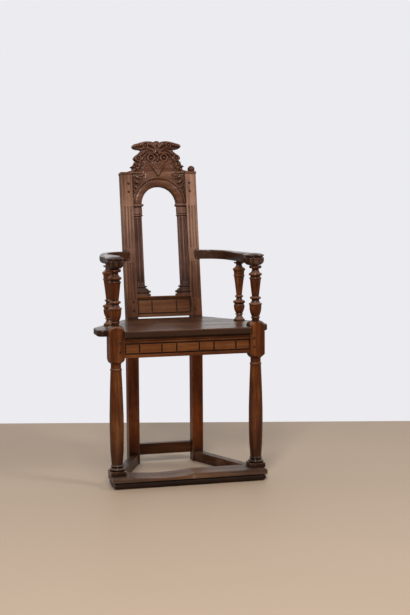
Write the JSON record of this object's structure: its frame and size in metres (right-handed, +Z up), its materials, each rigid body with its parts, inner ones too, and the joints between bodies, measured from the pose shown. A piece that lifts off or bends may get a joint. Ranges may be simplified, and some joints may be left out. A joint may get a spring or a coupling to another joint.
{
  "type": "caqueteuse armchair",
  "caption": "Joined oak conversation armchair with a narrow raked back, pierced arch and carved crest, a seat that widens to the front, bowed arms and turned posts.",
  "frame": {"origin": "on the floor, at the middle of the chair's box", "axes": "+Z up, +Y from the front of the foot rail to the back, +X to the right as seen from the front"},
  "size_m": [0.594, 0.51, 1.1571],
  "materials": {
    "turned_oak": "old wax, rubbed bright on the rings",
    "frame_oak": "old wax over riven oak",
    "carved_oak": "dark wax, dirt in the recesses",
    "worn_oak": "handled smooth, slightly grey",
    "peg_oak": "end grain, dark"
  },
  "bodies": {
    "root": {"arm_left": "worn_oak", "arm_right": "worn_oak", "back_post_left": "frame_oak", "back_post_right": "frame_oak", "crest_panel": "carved_oak", "crest_panel_pegs": "peg_oak", "finial": "carved_oak", "foot_rail": "frame_oak", "front_post_left": "turned_oak", "front_post_right": "turned_oak", "front_rail": "frame_oak", "front_rail_pegs": "peg_oak", "lower_back_rail": "carved_oak", "lower_back_rail_pegs": "peg_oak", "pilaster_left": "carved_oak", "pilaster_right": "carved_oak", "post_cap_left": "carved_oak", "post_cap_right": "carved_oak", "rear_baluster_left": "turned_oak", "rear_baluster_right": "turned_oak", "rear_rail": "frame_oak", "rear_stretcher": "frame_oak", "seat_board": "worn_oak", "side_rail_left": "frame_oak", "side_rail_right": "frame_oak", "side_stretcher_left": "frame_oak", "side_stretcher_right": "frame_oak"}
  },
  "joints": []
}
